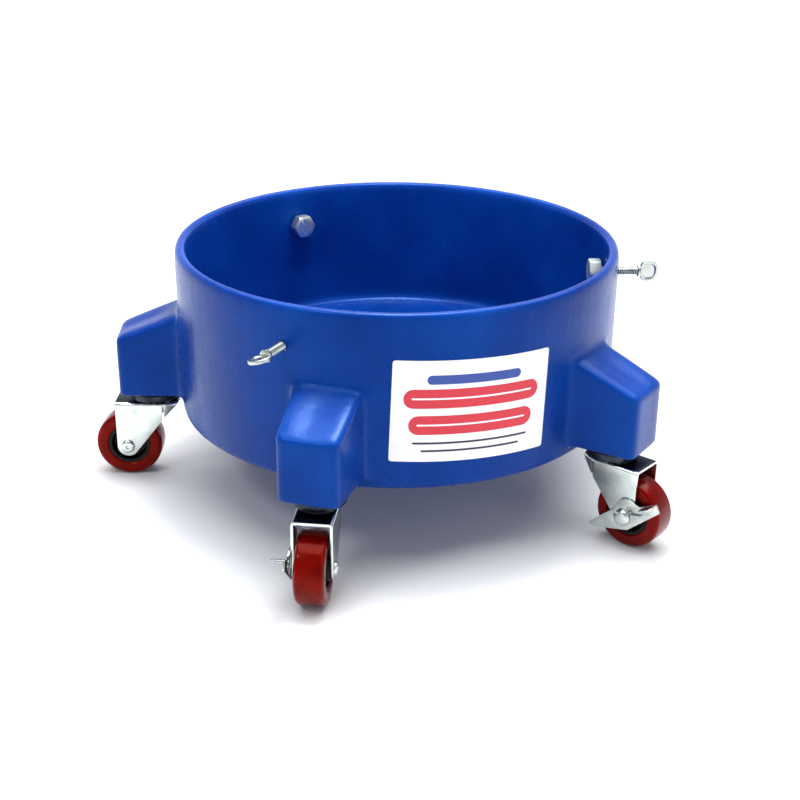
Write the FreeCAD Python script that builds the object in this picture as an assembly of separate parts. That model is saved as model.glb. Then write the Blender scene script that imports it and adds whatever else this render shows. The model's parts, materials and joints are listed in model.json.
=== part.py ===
import FreeCAD, Part
import math
import os

# Wheeled dolly for a round wash bucket: a blue plastic ring with a floor, five hollow
# outrigger pods, a swivel caster under each pod and three thumb screws through the wall.
# Millimetres, +Z up. The origin is the middle of the seat, the floor that the bucket stands on.

V = FreeCAD.Vector
Z_AXIS = V(0, 0, 1)
ORIGIN = V(0, 0, 0)

# ring and floor
ring_radius = 163.0
ring_wall = 8.0
rim_height = 103.6          # rim above the seat
skirt_depth = 21.1          # lower edge of the ring below the seat
floor_thickness = 5.0
seat_fillet = 6.0
rim_round = 3.6
skirt_round = 3.0

# outrigger pods, measured in each pod's own frame: x radial, y sideways
pod_angles = [0.0, 72.0, 144.0, 216.0, 288.0]
pod_bottom = -13.4
pod_reach = 210.5           # outer face at its foot
pod_root_half_width = 26.9
pod_end_half_width = 21.9
pod_root_x = ring_radius - ring_wall / 2
pod_roof_height = 51.6      # roof where it meets the ring
pod_roof_slope = 22.0       # degrees
pod_top = 62.0
pod_draft = 3.0             # lean of the outer face over the pod's height
pod_side_draft = 1.0
pod_wall = 5.0
pod_edge_round = 8.0
pod_roof_round = 6.5
pod_root_fillet = 6.0
pod_shelf = 7.0             # thickness of the floor that carries the caster
vent_radius = 2.5
vent_x = 171.0
vent_y = 16.5

# sticker on the ring
label_angle = 322.1
label_height = 35.0
label_width = 112.0
label_tall = 72.0
label_tilt = -2.0
label_corner = 2.0
label_gap = 0.05
label_thickness = 0.35

# thumb screws: direction round the ring and height above the seat, drilled by hand
clamp_places = [(35.7, 77.9), (155.4, 74.3), (276.4, 74.6)]
screw_radius = 3.1
insert_bore = 3.175
insert_radius = 4.8
insert_gap = 0.05
wall_hole_radius = 3.6
insert_inset = 1.2
screw_end = 146.5           # all the distances below are from the ring's axis
collar_start = 180.5
collar_length = 2.5
collar_radius = 4.6
spade_end = 196.5
spade_half_width = 8.3
spade_thickness = 2.8
spade_turns = [0.0, 0.0, 75.0]    # how far each spade stands turned from upright
neck_half_width = 3.4
foot_inner = 143.5
foot_length = 9.0
foot_across_flats = 16.5
foot_chamfer = 1.4
foot_bore = 3.25

# casters, in each caster's own frame: x towards the wheel, z as on the dolly
swivel_radius = 185.0
caster_headings = [-7.0, 95.0, 112.0, 213.0, 297.0]     # where each wheel trails at rest
braked_casters = [1, 5]
wheel_radius = 25.4
wheel_width = 20.6
trail = 21.0
axle_height = -58.8
stem_radius = 4.7
stem_length = 20.0
stem_insert_radius = 7.5
stem_insert_length = 16.0
boss_radius = 11.5
boss_height = 21.0
cap_radius = 19.0
cap_sheet = 1.6
cap_lip = 6.4
ball_radius = 1.9
ball_circle = 14.0
ball_count = 16
race_gap = 0.3
fork_top = -22.4
fork_sheet = 1.8
fork_half_width = 13.8
fork_back = 8.0             # vertical edge of the leg behind the axle
fork_shoulder = -8.2
fork_nose = -19.2
fork_nose_half_width = 8.5
fork_nose_drop = 5.0
fork_shoulder_drop = 12.3
fork_foot_radius = 8.0
race_ridge_inner = 11.6
race_ridge_outer = 16.4
race_ridge_height = 4.1     # the balls run in its grooved top
kingpin_radius = 5.0
kingpin_gap = 0.08
kingpin_head_radius = 8.0
kingpin_head = 2.4
axle_radius = 3.0
axle_gap = 0.05
axle_head_radius = 7.0
axle_head_height = 3.0
axle_peen_radius = 5.2
axle_peen_height = 2.2
bush_wall = 1.0
core_radius = 16.0
core_web = 7.0
core_hub_radius = 8.5
core_rim = 2.6
hub_side_gap = 0.4
tread_round = 3.2
tread_step = 0.9            # the tread's side stands this far out of the core's rim

# side brake lever, in a frame centred on the axle: u along the lever, v across it
lever_sheet = 1.6
lever_gap = 0.4
lever_tilt = 26.6
lever_boss_radius = 10.4
lever_arm = 31.0
lever_arm_top = 5.0
lever_tip = 31.0
lever_boss_x = 5.0
lever_boss_z = 2.5
lever_slot_radius = 2.9
lever_slot_length = 6.2
lever_slot_x = 7.7
lever_slot_z = 3.9
lever_slot_turn = 14.0
lever_pad = 9.0
lever_pad_length = 11.0

ring_inner = ring_radius - ring_wall


def at(angle, radius, height=0.0):
    """Point on the dolly at an angle in degrees."""
    a = math.radians(angle)
    return V(radius * math.cos(a), radius * math.sin(a), height)


def turned(shape, angle, centre=ORIGIN, axis=Z_AXIS):
    copy = shape.copy()
    copy.rotate(centre, axis, angle)
    return copy


def line(a, b):
    return Part.makeLine(a, b)


def arc(a, middle, b):
    return Part.Arc(a, middle, b).toShape()


def corner_arc(centre_x, centre_z, radius, start, end):
    """Arc in the XZ plane from one angle to another, in degrees."""
    points = []
    for angle in (start, (start + end) / 2, end):
        a = math.radians(angle)
        points.append(V(centre_x + radius * math.cos(a), 0, centre_z + radius * math.sin(a)))
    return arc(*points)


def joined(edges):
    """Wire through edges in order, with straight lines where two don't meet."""
    chain = []
    for index, edge in enumerate(edges):
        chain.append(edge)
        here = edge.valueAt(edge.LastParameter)
        following = edges[(index + 1) % len(edges)]
        there = following.valueAt(following.FirstParameter)
        if here.distanceToPoint(there) > 1e-6:
            chain.append(line(here, there))
    return Part.Wire(chain)


def revolved(wire):
    return Part.Face(wire).revolve(ORIGIN, Z_AXIS, 360)


def polygon(points):
    return Part.Face(Part.makePolygon(points + points[:1]))


def rounded_cylinder(radius, height, edge, base, direction):
    """Disc or pin whose far edge is rounded."""
    disc = Part.makeCylinder(radius, height, base, direction)
    far = base + direction * height
    rim = [e for e in disc.Edges if e.Closed and e.CenterOfMass.distanceToPoint(far) < 1e-6]
    return disc.makeFillet(edge, rim)


def hex_prism(across_flats, height, base_x):
    """Hexagonal prism along +X from base_x."""
    corner = across_flats / math.sqrt(3)
    points = []
    for step in range(6):
        a = math.radians(60 * step)
        points.append(V(base_x, corner * math.cos(a), corner * math.sin(a)))
    return polygon(points).extrude(V(height, 0, 0))


# ---------------------------------------------------------------- plastic body

def ring_and_floor():
    lower = -skirt_depth
    under = -floor_thickness
    edges = [
        line(V(0, 0, under), V(ring_inner - seat_fillet, 0, under)),
        corner_arc(ring_inner - seat_fillet, under - seat_fillet, seat_fillet, 90, 0),
        corner_arc(ring_inner + skirt_round, lower + skirt_round, skirt_round, 180, 270),
        corner_arc(ring_radius - skirt_round, lower + skirt_round, skirt_round, 270, 360),
        corner_arc(ring_radius - rim_round, rim_height - rim_round, rim_round, 0, 90),
        corner_arc(ring_inner + rim_round, rim_height - rim_round, rim_round, 90, 180),
        corner_arc(ring_inner - seat_fillet, seat_fillet, seat_fillet, 360, 270),
        line(V(ring_inner - seat_fillet, 0, 0), ORIGIN),
    ]
    return revolved(joined(edges))


def pod_block(inset, bottom):
    """Tapered block under the sloping roof, with its faces moved in by inset."""
    def outline(z):
        rise = (z - pod_bottom) / (pod_top - pod_bottom)
        reach = pod_reach - pod_draft * rise - inset
        root = pod_root_half_width - pod_side_draft * rise - inset
        end = pod_end_half_width - pod_side_draft * rise - inset
        start = ring_radius if inset else pod_root_x
        corners = [V(start, -root, z), V(reach, -end, z), V(reach, end, z), V(start, root, z)]
        return Part.makePolygon(corners + corners[:1])

    block = Part.makeLoft([outline(bottom), outline(pod_top)], True, True)
    slope = math.tan(math.radians(pod_roof_slope))
    drop = inset / math.cos(math.radians(pod_roof_slope))

    def roof(x):
        return pod_roof_height - drop - slope * (x - ring_radius)

    high = pod_top + 40
    near, far = pod_root_x - 5, pod_reach + 10
    side = [V(near, -60, roof(near)), V(far, -60, roof(far)), V(far, -60, high), V(near, -60, high)]
    return block.cut(polygon(side).extrude(V(0, 120, 0)))


def outer_pod():
    """Pod with its outer corners and the edges of its roof rounded."""
    block = pod_block(0, pod_bottom)
    upright = []
    for edge in block.Edges:
        low, high = sorted(v.Z for v in edge.Vertexes)
        if high - low > 30 and min(v.X for v in edge.Vertexes) > ring_radius:
            upright.append(edge)
    block = block.makeFillet(pod_edge_round, upright)
    roof_face = max(block.Faces, key=lambda f: f.normalAt(0, 0).z * f.Area if f.CenterOfMass.z > 20 else 0)
    roof_edges = []
    for edge in roof_face.Edges:
        if edge.BoundBox.XMax > ring_radius + 1:
            roof_edges.append(edge)
    return block.makeFillet(pod_roof_round, roof_edges)


def pod_hollow():
    """Space inside a pod, less the boss that holds the caster's insert."""
    space = pod_block(pod_wall, pod_bottom + pod_shelf)
    boss = Part.makeCylinder(boss_radius, boss_height, V(swivel_radius, 0, pod_bottom))
    vent = Part.makeCylinder(vent_radius, pod_shelf + 5, V(vent_x, vent_y, pod_bottom - 1))
    socket_radius = stem_insert_radius + insert_gap
    socket = Part.makeCylinder(socket_radius, stem_insert_length, V(swivel_radius, 0, pod_bottom))
    tip = Part.makeCylinder(stem_radius + 0.5, stem_length + 1, V(swivel_radius, 0, pod_bottom))
    return space.cut(boss).fuse([vent, socket, tip])


def screw_hole(angle, height):
    """Stepped hole through the ring: the insert's pocket and the screw's way out."""
    pocket_length = ring_wall - insert_inset
    pocket = Part.makeCylinder(insert_radius + insert_gap, pocket_length + 1,
                               V(ring_inner - 1, 0, height), V(1, 0, 0))
    way_out = Part.makeCylinder(wall_hole_radius, ring_wall + 2, V(ring_inner - 1, 0, height), V(1, 0, 0))
    return turned(pocket.fuse(way_out), angle)


def dolly_body():
    pod = outer_pod()
    pods = [turned(pod, angle) for angle in pod_angles]
    body = ring_and_floor().fuse(pods).removeSplitter()
    roots = []
    for edge in body.Edges:
        box = edge.BoundBox
        mid = edge.valueAt((edge.FirstParameter + edge.LastParameter) / 2)
        ends = [v.Point for v in edge.Vertexes] + [mid]
        on_ring = all(abs(math.hypot(p.x, p.y) - ring_radius) < 0.05 for p in ends)
        in_reach = box.ZMin > pod_bottom - 0.5 and box.ZMax < pod_roof_height + 2
        if on_ring and in_reach and (box.ZLength > 0.5 or mid.z > 10):
            roots.append(edge)
    body = body.makeFillet(pod_root_fillet, roots)
    hollow = pod_hollow()
    cuts = [turned(hollow, angle) for angle in pod_angles]
    cuts += [screw_hole(angle, height) for angle, height in clamp_places]
    return body.cut(cuts)


def label():
    """Thin curved sticker with rounded corners."""
    radius = ring_radius + label_gap
    shell = Part.makeCylinder(radius + label_thickness, 2 * label_tall, V(0, 0, -label_tall))
    shell = shell.cut(Part.makeCylinder(radius, 2 * label_tall, V(0, 0, -label_tall)))
    half = ring_radius * math.sin(label_width / ring_radius / 2)
    plate = Part.makeBox(60, 2 * half, label_tall, V(ring_radius - 30, -half, -label_tall / 2))
    corners = [e for e in plate.Edges if e.BoundBox.XLength > 50]
    plate = plate.makeFillet(label_corner, corners)
    plate.rotate(ORIGIN, V(1, 0, 0), label_tilt)
    sticker = shell.common(plate)
    sticker.translate(V(0, 0, label_height))
    return turned(sticker, label_angle)


# ---------------------------------------------------------------- thumb screws, along +X

def screw_insert(height):
    length = ring_wall - insert_inset - 0.2
    start = ring_inner + 0.2
    tube = Part.makeCylinder(insert_radius, length, V(start, 0, height), V(1, 0, 0))
    return tube.cut(Part.makeCylinder(insert_bore, length, V(start, 0, height), V(1, 0, 0)))


def thumb_screw(height, turn):
    shank = Part.makeCylinder(screw_radius, collar_start - screw_end + 1, V(screw_end, 0, height), V(1, 0, 0))
    collar = Part.makeCylinder(collar_radius, collar_length, V(collar_start, 0, height), V(1, 0, 0))
    start = collar_start + collar_length - 0.5
    middle = (start + spade_end) / 2
    upper = height + spade_half_width
    lower = height - spade_half_width
    side = -spade_thickness / 2
    edges = [
        line(V(start, side, height - neck_half_width), V(start, side, height + neck_half_width)),
        arc(V(start, side, height + neck_half_width), V(middle - 4, side, upper - 1.3), V(middle, side, upper)),
        arc(V(middle, side, upper), V(spade_end, side, height), V(middle, side, lower)),
        arc(V(middle, side, lower), V(middle - 4, side, lower + 1.3), V(start, side, height - neck_half_width)),
    ]
    spade = Part.Face(Part.Wire(edges)).extrude(V(0, spade_thickness, 0))
    spade.rotate(V(0, 0, height), V(1, 0, 0), -turn)
    return shank.fuse([collar, spade]).removeSplitter()


def clamp_foot(height):
    """Hexagonal foot on the screw's inner end, free to stand still while the screw turns."""
    prism = hex_prism(foot_across_flats, foot_length, foot_inner)
    corner = foot_across_flats / math.sqrt(3)
    bevel = Part.makeCone(corner - foot_chamfer, corner + 2, foot_chamfer + 2, V(foot_inner, 0, 0), V(1, 0, 0))
    barrel = Part.makeCylinder(corner + 2, foot_length, V(foot_inner + foot_chamfer + 2, 0, 0), V(1, 0, 0))
    prism = prism.common(bevel.fuse(barrel))
    socket_start = screw_end - 0.4
    socket = Part.makeCylinder(foot_bore, 30, V(socket_start, 0, 0), V(1, 0, 0))
    foot = prism.cut(socket)
    foot.translate(V(0, 0, height))
    return foot


# ---------------------------------------------------------------- casters, swivel axis on Z

def stem_insert():
    tube = Part.makeCylinder(stem_insert_radius, stem_insert_length, V(0, 0, pod_bottom))
    return tube.cut(Part.makeCylinder(stem_radius + insert_gap, stem_insert_length, V(0, 0, pod_bottom)))


def caster_stem():
    """Threaded stem above, kingpin and its head below."""
    stud = Part.makeCylinder(stem_radius, stem_length + cap_sheet, V(0, 0, pod_bottom - cap_sheet))
    head_top = fork_top - fork_sheet - race_gap
    pin_top = pod_bottom - cap_sheet
    pin = Part.makeCylinder(kingpin_radius, pin_top - head_top, V(0, 0, head_top))
    head = rounded_cylinder(kingpin_head_radius, kingpin_head, 1.2, V(0, 0, head_top), V(0, 0, -1))
    return stud.fuse([pin, head])


def race_cap():
    """Pressed dish that holds the balls from above."""
    top = pod_bottom
    lip = pod_bottom - cap_lip
    outer = cap_radius
    inner = cap_radius - cap_sheet
    hole = stem_radius + insert_gap
    edges = [
        line(V(hole, 0, top), V(outer - 2.5, 0, top)),
        corner_arc(outer - 2.5, top - 2.5, 2.5, 90, 0),
        line(V(outer, 0, lip), V(inner, 0, lip)),
        line(V(inner, 0, top - 2.5), V(inner - 0.9, 0, top - cap_sheet)),
        line(V(hole, 0, top - cap_sheet), V(hole, 0, top)),
    ]
    return revolved(joined(edges))


def ball_ring():
    """Balls in a ring, resting in the fork's race."""
    centre_height = pod_bottom - cap_sheet - ball_radius - 0.05
    balls = []
    for step in range(ball_count):
        balls.append(Part.makeSphere(ball_radius, at(360.0 / ball_count * step, ball_circle, centre_height)))
    return Part.makeCompound(balls)


def fork():
    """Bent sheet yoke: a box closed at the nose and open behind, trimmed to its side outline."""
    back = trail + fork_back
    wide = fork_half_width
    slim = fork_nose_half_width
    low = axle_height - fork_foot_radius

    def plan(inset, rear):
        corners = [
            V(rear, -wide + inset, 0),
            V(rear, wide - inset, 0),
            V(fork_shoulder + inset / 2, wide - inset, 0),
            V(fork_nose + inset, slim - inset / 2, 0),
            V(fork_nose + inset, -slim + inset / 2, 0),
            V(fork_shoulder + inset / 2, -wide + inset, 0),
        ]
        return polygon(corners)

    outer = plan(0, back).extrude(V(0, 0, fork_top - low))
    outer.translate(V(0, 0, low))
    along = [e for e in outer.Edges if e.CenterOfMass.z > fork_top - 0.01 and e.BoundBox.XMin < back - 1]
    outer = outer.makeFillet(2.2, along)
    inner = plan(fork_sheet, back + 5).extrude(V(0, 0, fork_top - fork_sheet - low + 5))
    inner.translate(V(0, 0, low - 5))
    shell = outer.cut(inner)

    # side outline: nose, shoulder, slanted edge down to the round foot, upright rear edge
    shoulder = V(fork_shoulder, 0, fork_top - fork_shoulder_drop)
    reach_x = trail - shoulder.x
    reach_z = axle_height - shoulder.z
    distance = math.hypot(reach_x, reach_z)
    bearing = math.degrees(math.atan2(reach_z, reach_x))
    lean = math.degrees(math.asin(fork_foot_radius / distance))
    tangent = bearing - lean - 90
    foot_arc = corner_arc(trail, axle_height, fork_foot_radius, tangent, 0)
    edges = [
        line(V(fork_nose - 1, 0, fork_top + 1), V(fork_nose - 1, 0, fork_top - fork_nose_drop)),
        line(V(fork_nose, 0, fork_top - fork_nose_drop), shoulder),
        foot_arc,
        line(V(back, 0, fork_top + 1), V(fork_nose - 1, 0, fork_top + 1)),
    ]
    side = Part.Face(joined(edges)).extrude(V(0, 4 * wide, 0))
    side.translate(V(0, -2 * wide, 0))
    yoke = shell.common(side)

    ridge = Part.makeCylinder(race_ridge_outer, race_ridge_height + 0.5, V(0, 0, fork_top - 0.5))
    ridge = ridge.cut(Part.makeCylinder(race_ridge_inner, 10, V(0, 0, fork_top - 2)))
    ridge = ridge.common(Part.makeBox(60, 2 * wide - 5, 10, V(fork_nose + 2, -wide + 2.5, fork_top - 5)))
    groove = Part.makeTorus(ball_circle, ball_radius + race_gap,
                            V(0, 0, pod_bottom - cap_sheet - ball_radius - 0.05))
    pin_hole = Part.makeCylinder(kingpin_radius + kingpin_gap, 20, V(0, 0, fork_top - 10))
    axle_hole = Part.makeCylinder(axle_radius + axle_gap, 4 * wide, V(trail, -2 * wide, axle_height), V(0, 1, 0))
    return yoke.fuse(ridge).cut([groove, pin_hole, axle_hole])


def axle(braked):
    """Rivet across the fork, with a domed head on the brake side."""
    stack = fork_half_width + (lever_sheet + 2 * lever_gap if braked else 0.05)
    far = fork_half_width + 0.05
    shank = Part.makeCylinder(axle_radius, stack + far, V(trail, -stack, axle_height), V(0, 1, 0))
    head = rounded_cylinder(axle_head_radius, axle_head_height, 2.0, V(trail, -stack, axle_height), V(0, -1, 0))
    peen = rounded_cylinder(axle_peen_radius, axle_peen_height, 1.2, V(trail, far, axle_height), V(0, 1, 0))
    return shank.fuse([head, peen])


def axle_bush():
    """Steel tube between the fork's legs, on which the wheel turns."""
    half = fork_half_width - fork_sheet - 0.05
    base = V(trail, -half, axle_height)
    tube = Part.makeCylinder(axle_radius + axle_gap + bush_wall, 2 * half, base, V(0, 1, 0))
    return tube.cut(Part.makeCylinder(axle_radius + axle_gap, 2 * half, base, V(0, 1, 0)))


def on_axle(shape):
    """Moves a part revolved about Z on to the wheel's axle."""
    shape.rotate(ORIGIN, V(1, 0, 0), 90)
    shape.translate(V(trail, 0, axle_height))
    return shape


def wheel_core():
    bore = axle_radius + axle_gap + bush_wall + 0.06
    hub_half = fork_half_width - fork_sheet - hub_side_gap
    rim_half = wheel_width / 2 - tread_step
    web_half = core_web / 2
    rim_inner = core_radius - core_rim
    corners = [
        (bore, -hub_half), (core_hub_radius, -hub_half), (core_hub_radius + 0.8, -web_half),
        (rim_inner - 0.8, -web_half), (rim_inner, -rim_half), (core_radius, -rim_half),
        (core_radius, rim_half), (rim_inner, rim_half), (rim_inner - 0.8, web_half),
        (core_hub_radius + 0.8, web_half), (core_hub_radius, hub_half), (bore, hub_half),
    ]
    points = [V(r, 0, z) for r, z in corners]
    return on_axle(Part.Face(Part.makePolygon(points + points[:1])).revolve(ORIGIN, Z_AXIS, 360))


def tread():
    half = wheel_width / 2
    edges = [
        line(V(core_radius, 0, -half + tread_step), V(core_radius + tread_step, 0, -half)),
        corner_arc(wheel_radius - tread_round, -half + tread_round, tread_round, 270, 360),
        corner_arc(wheel_radius - tread_round, half - tread_round, tread_round, 0, 90),
        line(V(core_radius + tread_step, 0, half), V(core_radius, 0, half - tread_step)),
    ]
    return on_axle(revolved(joined(edges)))


def brake_lever():
    """Stamped rocker on the axle: round boss, pressing arm with an outward pad, pointed tail."""
    near = -fork_half_width - lever_gap - lever_sheet
    boss = Part.makeCylinder(lever_boss_radius, lever_sheet, V(lever_boss_x, near, lever_boss_z), V(0, 1, 0))
    arm = polygon([V(0, near, lever_arm_top + 1), V(lever_arm, near, lever_arm_top), V(lever_arm, near, -1.5),
                   V(2, near, -9.5)])
    tail = polygon([V(0, near, 8), V(-13, near, 5), V(-lever_tip, near, 0), V(-lever_tip + 3, near, -3.5),
                    V(0, near, -10)])
    solids = [face.extrude(V(0, lever_sheet, 0)) for face in (arm, tail)]
    pad = Part.makeBox(lever_pad_length, lever_pad, lever_sheet,
                       V(lever_arm - lever_pad_length, near - lever_pad + 0.5, lever_arm_top - lever_sheet))
    corners = [e for e in pad.Edges if e.BoundBox.ZLength > 1 and e.CenterOfMass.y < near - lever_pad + 1]
    pad = pad.makeFillet(3.0, corners)
    plate = boss.fuse(solids + [pad]).removeSplitter()
    slot = Part.makeBox(lever_slot_length, 6, 2 * lever_slot_radius, V(0, 0, -lever_slot_radius))
    for end in (0, lever_slot_length):
        slot = slot.fuse(Part.makeCylinder(lever_slot_radius, 6, V(end, 0, 0), V(0, 1, 0)))
    slot.rotate(ORIGIN, V(0, 1, 0), lever_slot_turn)
    slot.translate(V(lever_slot_x, near - 2, lever_slot_z))
    pivot = Part.makeCylinder(axle_radius + axle_gap, 10, V(0, near - 1, 0), V(0, 1, 0))
    plate = plate.cut([slot, pivot])
    plate.rotate(ORIGIN, V(0, 1, 0), -lever_tilt)
    plate.translate(V(trail, 0, axle_height))
    return plate


# ---------------------------------------------------------------- assembly

def write(shape, name):
    shape.exportStep("parts/" + name + ".step")


os.makedirs("parts", exist_ok=True)

write(dolly_body(), "dolly_body")
write(label(), "label")

for number, ((angle, height), turn) in enumerate(zip(clamp_places, spade_turns), 1):
    write(turned(screw_insert(height), angle), f"screw_insert_{number}")
    write(turned(thumb_screw(height, turn), angle), f"thumb_screw_{number}")
    write(turned(clamp_foot(height), angle), f"clamp_foot_{number}")

for number, (angle, heading) in enumerate(zip(pod_angles, caster_headings), 1):
    braked = number in braked_casters
    pieces = {
        "stem_insert": stem_insert(),
        "caster_stem": caster_stem(),
        "race_cap": race_cap(),
        "ball_ring": ball_ring(),
        "fork": fork(),
        "axle": axle(braked),
        "axle_bush": axle_bush(),
        "wheel_core": wheel_core(),
        "tread": tread(),
    }
    if braked:
        pieces["brake_lever"] = brake_lever()
    for name, piece in pieces.items():
        piece.rotate(ORIGIN, Z_AXIS, heading)
        piece.translate(at(angle, swivel_radius))
        write(piece, f"{name}_{number}")
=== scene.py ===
import json
import math

import bmesh
import bpy
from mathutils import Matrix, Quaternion, Vector


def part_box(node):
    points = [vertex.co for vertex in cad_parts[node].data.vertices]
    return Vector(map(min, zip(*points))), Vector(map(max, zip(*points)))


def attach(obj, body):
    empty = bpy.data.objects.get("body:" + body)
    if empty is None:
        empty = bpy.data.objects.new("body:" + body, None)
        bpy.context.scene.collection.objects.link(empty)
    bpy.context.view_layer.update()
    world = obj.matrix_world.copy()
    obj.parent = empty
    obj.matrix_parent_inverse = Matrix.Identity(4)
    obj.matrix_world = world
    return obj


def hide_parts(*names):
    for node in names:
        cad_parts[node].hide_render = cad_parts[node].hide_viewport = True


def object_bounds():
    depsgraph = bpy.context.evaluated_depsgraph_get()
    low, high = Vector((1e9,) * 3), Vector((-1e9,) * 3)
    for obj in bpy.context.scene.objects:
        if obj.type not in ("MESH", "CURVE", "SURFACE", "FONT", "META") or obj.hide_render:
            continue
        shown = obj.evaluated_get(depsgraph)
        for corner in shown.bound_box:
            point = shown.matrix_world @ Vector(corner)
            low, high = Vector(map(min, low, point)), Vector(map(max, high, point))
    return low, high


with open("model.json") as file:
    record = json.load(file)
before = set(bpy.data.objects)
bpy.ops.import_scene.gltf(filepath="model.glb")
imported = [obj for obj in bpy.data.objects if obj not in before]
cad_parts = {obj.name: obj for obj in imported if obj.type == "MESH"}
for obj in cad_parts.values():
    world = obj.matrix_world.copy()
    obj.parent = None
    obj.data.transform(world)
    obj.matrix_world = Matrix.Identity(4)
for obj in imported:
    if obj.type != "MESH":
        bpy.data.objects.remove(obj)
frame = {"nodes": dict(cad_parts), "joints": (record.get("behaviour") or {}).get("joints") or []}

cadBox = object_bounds()
joints = {joint["name"]: joint for joint in frame["joints"]}
mm = 0.001
print("frame loaded,", len(frame["nodes"]), "CAD nodes")


def clearSelection():
    if bpy.context.object and bpy.context.object.mode != "OBJECT":
        bpy.ops.object.mode_set(mode="OBJECT")
    bpy.ops.object.select_all(action="DESELECT")


def takeUp(piece):         # makes one piece the selected and active one
    clearSelection()
    piece.select_set(True)
    bpy.context.view_layer.objects.active = piece


def startEdit(piece):
    takeUp(piece)
    bpy.ops.object.mode_set(mode="EDIT")


def pick(kind, test):      # in edit mode, selects the vertices, edges or faces that pass the test
    bpy.ops.mesh.select_mode(type=kind)
    bpy.ops.mesh.select_all(action="DESELECT")
    shape = bmesh.from_edit_mesh(bpy.context.object.data)
    shape.normal_update()
    group = {"VERT": shape.verts, "EDGE": shape.edges, "FACE": shape.faces}[kind]
    for item in group:
        if test(item):
            item.select_set(True)
    shape.select_flush_mode()
    bmesh.update_edit_mesh(bpy.context.object.data)


def middleOf(item):
    return sum((v.co for v in item.verts), Vector()) / len(item.verts)


def isFold(edge):          # an edge where two faces meet at more than 0.3 radians
    return len(edge.link_faces) == 2 and edge.calc_face_angle() > 0.3


def tidyMesh(piece, weld=0.01):        # welds points nearer than this many mm and turns faces outwards
    startEdit(piece)
    bpy.ops.mesh.select_all(action="SELECT")
    bpy.ops.mesh.remove_doubles(threshold=weld * mm)
    bpy.ops.mesh.normals_make_consistent(inside=False)
    bpy.ops.object.mode_set(mode="OBJECT")


def addModifier(piece, kind, **settings):      # adds a modifier and applies it at once
    takeUp(piece)
    modifier = piece.modifiers.new(kind.title(), kind)
    for name, value in settings.items():
        setattr(modifier, name, value)
    bpy.ops.object.modifier_apply(modifier=modifier.name)


def smooth(piece, angle):  # smooth shading, creased where faces meet at more than this angle
    takeUp(piece)
    bpy.ops.object.shade_smooth_by_angle(angle=math.radians(angle))


def softEdges(piece, width, angle):
    addModifier(piece, "BEVEL", width=width * mm, segments=2, limit_method="ANGLE",
                angle_limit=math.radians(angle), miter_outer="MITER_ARC")
    smooth(piece, angle)


def joinPieces(first, *others):
    takeUp(first)
    for other in others:
        other.select_set(True)
    bpy.ops.object.join()
    return first


def roundedOutline(corners, steps=5):
    # corners are (x, y, radius) in mm; each one becomes an arc of that radius
    points = []
    count = len(corners)
    for index, (x, y, radius) in enumerate(corners):
        here = Vector((x, y))
        if radius == 0:
            points.append(here)
            continue
        back = (Vector(corners[index - 1][:2]) - here).normalized()
        ahead = (Vector(corners[(index + 1) % count][:2]) - here).normalized()
        half = back.angle(ahead) / 2
        centre = here + (back + ahead).normalized() * radius / math.sin(half)
        start = here + back * radius / math.tan(half) - centre
        end = here + ahead * radius / math.tan(half) - centre
        sweep = start.angle_signed(end)
        for step in range(steps + 1):
            turn = -sweep * step / steps
            points.append(centre + Vector((start.x * math.cos(turn) - start.y * math.sin(turn),
                                           start.x * math.sin(turn) + start.y * math.cos(turn))))
    return points


def circlePoints(radius, count=28):
    return [(radius * math.cos(math.tau * i / count), radius * math.sin(math.tau * i / count))
            for i in range(count)]


def lathe(name, outline, sides, closed=True):
    # turns an outline of (radius, height) in mm about Z, one extruded ring at a time
    clearSelection()
    radius, height = outline[0]
    bpy.ops.mesh.primitive_circle_add(vertices=sides, radius=radius * mm, location=(0, 0, height * mm))
    piece = bpy.context.object
    piece.name = name
    bpy.ops.object.transform_apply(location=True)
    startEdit(piece)
    bpy.ops.mesh.select_all(action="SELECT")
    for nextRadius, nextHeight in list(outline[1:]) + ([outline[0]] if closed else []):
        rise = (nextHeight - height) * mm
        bpy.ops.mesh.extrude_edges_move(TRANSFORM_OT_translate={"value": (0, 0, rise)})
        grow = nextRadius / radius
        bpy.ops.transform.resize(value=(grow, grow, 1), center_override=(0, 0, nextHeight * mm))
        radius, height = nextRadius, nextHeight
    if not closed:         # both ends are closed with a flat cap
        pick("EDGE", lambda edge: edge.is_boundary)
        bpy.ops.mesh.fill_holes(sides=0)
    tidyMesh(piece, 0.004)
    return piece


def plate(name, loops, thickness, edge):
    # flat plate in the XY plane from outlines in mm, holes among them, its rims softened
    clearSelection()
    flat = bpy.data.curves.new(name, "CURVE")
    flat.dimensions = "2D"
    flat.fill_mode = "BOTH"
    flat.extrude = (thickness / 2 - edge) * mm
    flat.bevel_depth = edge * mm
    flat.offset = -edge * mm
    flat.bevel_resolution = 2
    for loop in loops:
        spline = flat.splines.new("POLY")
        spline.points.add(len(loop) - 1)
        for point, (x, y) in zip(spline.points, loop):
            point.co = (x * mm, y * mm, 0, 1)
        spline.use_cyclic_u = True
    piece = bpy.data.objects.new(name, flat)
    bpy.context.scene.collection.objects.link(piece)
    takeUp(piece)
    bpy.ops.object.convert(target="MESH")
    piece = bpy.context.object
    tidyMesh(piece, 0.002)
    return piece


def setDown(piece, turn=(0, 0, 0), move=(0, 0, 0)):
    # turns a piece (degrees) and moves it (mm), then puts its place in its mesh
    takeUp(piece)
    piece.rotation_euler = [math.radians(angle) for angle in turn]
    piece.location = [value * mm for value in move]
    bpy.ops.object.transform_apply(location=True, rotation=True, scale=True)
    return piece


def copyOf(piece, name):
    takeUp(piece)
    bpy.ops.object.duplicate(linked=False)
    double = bpy.context.object
    double.name = name
    return double


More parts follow.
